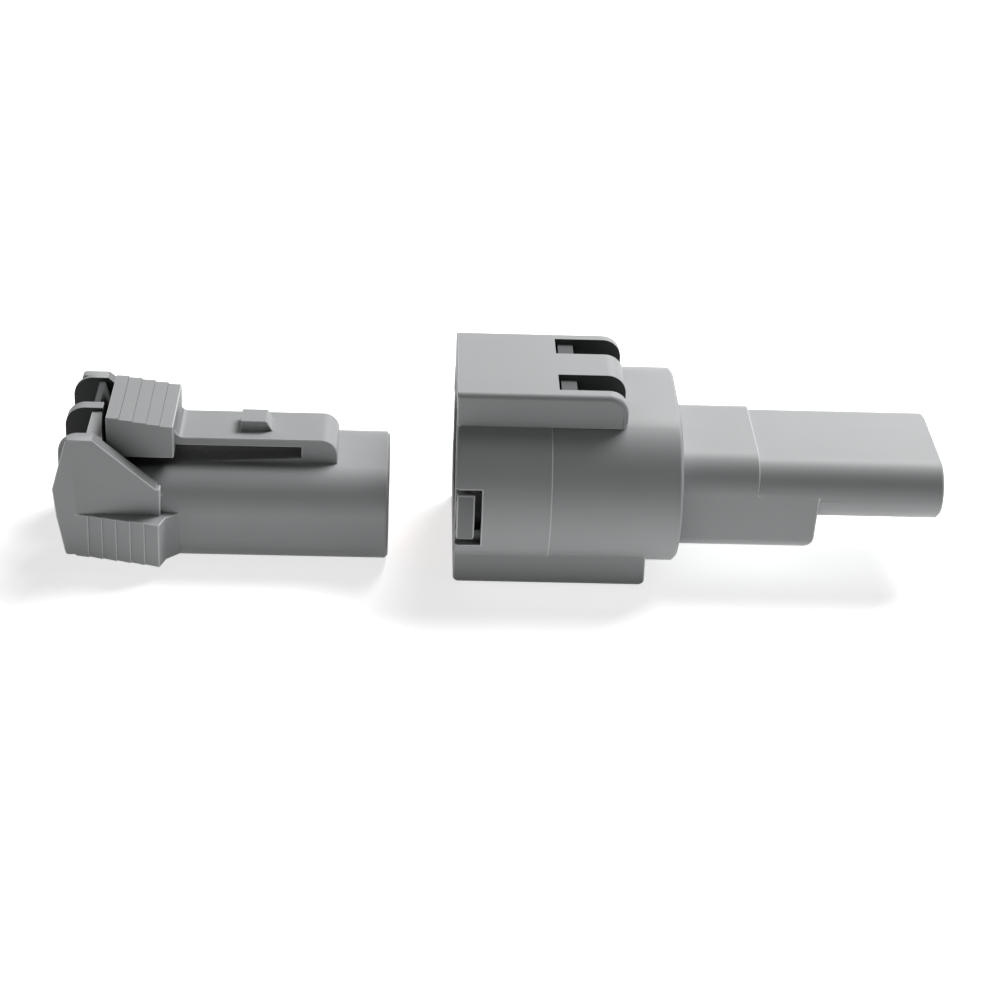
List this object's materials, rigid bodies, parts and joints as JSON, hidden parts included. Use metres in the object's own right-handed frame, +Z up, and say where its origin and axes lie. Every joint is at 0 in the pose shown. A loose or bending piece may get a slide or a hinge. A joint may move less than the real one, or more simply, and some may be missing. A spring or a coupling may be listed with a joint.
{
  "type": "sealed automotive connector",
  "caption": "Sealed power connector shown unmated: a latching plug half with side grips and a receptacle half with a latch tunnel, stepped body and wire barrel.",
  "frame": {"origin": "centre of the bottom of the whole box, on the surface that both halves stand on", "axes": "+X along the mating axis from the plug to the receptacle, +Z up, Y = 0 the mirror plane of both halves"},
  "size_m": [0.1198, 0.034, 0.0269],
  "materials": {
    "grey_housing": "satin",
    "orange_lock": "satin",
    "silicone_seal": "matte",
    "nickel_contact": "satin"
  },
  "bodies": {
    "root": {"plug_housing": "grey_housing", "plug_wedge_lock": "orange_lock", "plug_interface_seal": "silicone_seal", "plug_wire_seal": "silicone_seal", "receptacle_housing": "grey_housing", "receptacle_wedge_lock": "orange_lock", "receptacle_wire_seal": "silicone_seal", "socket_contact_near": "nickel_contact", "socket_contact_far": "nickel_contact", "pin_contact_near": "nickel_contact", "pin_contact_far": "nickel_contact"}
  },
  "joints": []
}
